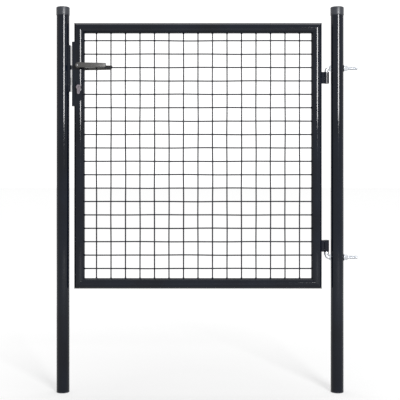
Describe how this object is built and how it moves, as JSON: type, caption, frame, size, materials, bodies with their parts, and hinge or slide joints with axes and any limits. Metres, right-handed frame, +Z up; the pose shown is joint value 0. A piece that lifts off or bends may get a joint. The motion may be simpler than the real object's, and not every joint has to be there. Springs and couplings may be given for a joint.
{
  "type": "mesh garden gate",
  "caption": "Garden gate with a welded wire mesh in a mitred round-tube frame, hung on threaded hinge pins between two round posts, with a lever lock and a strike.",
  "frame": {"origin": "centre of the hinge post's foot", "axes": "+X along the gate from the latch post to the hinge post, +Y towards the back, the side that the leaf opens to, +Z up the posts"},
  "size_m": [1.0452, 0.092, 1.3365],
  "materials": {
    "painted_steel": "glossy blue-grey powder coat",
    "dark_plastic": "satin moulded plastic",
    "zinc_plated_steel": "bright zinc plating",
    "lock_cylinder_brass": "nickel plated, satin"
  },
  "bodies": {
    "posts": {"hinge_post": "painted_steel", "latch_post": "painted_steel", "hinge_post_cap": "dark_plastic", "latch_post_cap": "dark_plastic", "hinge_post_plug": "dark_plastic", "latch_post_plug": "dark_plastic", "strike": "painted_steel", "upper_hinge_pin": "zinc_plated_steel", "upper_inner_nut": "zinc_plated_steel", "upper_washer": "zinc_plated_steel", "upper_outer_nut": "zinc_plated_steel", "lower_hinge_pin": "zinc_plated_steel", "lower_collar": "zinc_plated_steel", "lower_inner_nut": "zinc_plated_steel", "lower_washer": "zinc_plated_steel", "lower_outer_nut": "zinc_plated_steel"},
    "leaf": {"top_rail": "painted_steel", "bottom_rail": "painted_steel", "lock_stile": "painted_steel", "hinge_stile": "painted_steel", "mesh_panel": "painted_steel", "upper_barrel": "painted_steel", "lower_barrel": "painted_steel", "upper_lug": "painted_steel", "lower_lug": "painted_steel", "lock_housing": "painted_steel", "lock_face": "painted_steel", "dead_bolt": "zinc_plated_steel", "lock_cylinder": "lock_cylinder_brass", "front_boss": "painted_steel", "back_boss": "painted_steel"},
    "levers": {"front_lever": "dark_plastic", "back_lever": "dark_plastic", "spindle": "zinc_plated_steel"},
    "latch": {"latch_bolt": "zinc_plated_steel"}
  },
  "joints": [
    {"name": "gate_swing", "type": "hinge", "parent": "posts", "child": "leaf", "pos_m": [-0.0375, 0, 0.8], "axis": [0, 0, -1], "range_deg": [0, 100]},
    {"name": "handle_turn", "type": "hinge", "parent": "leaf", "child": "levers", "pos_m": [-0.8945, 0, 1.13], "axis": [0, 1, 0], "range_deg": [0, 40], "stiffness_Nm_per_rad": 1, "springref_deg": -20.05},
    {"name": "latch_slide", "type": "slide", "parent": "leaf", "child": "latch", "axis": [1, 0, 0], "range_m": [0, 0.011]}
  ],
  "couplings": [
    {"joint": "latch_slide", "follows": "handle_turn", "m_per_rad": 0.01575}
  ]
}
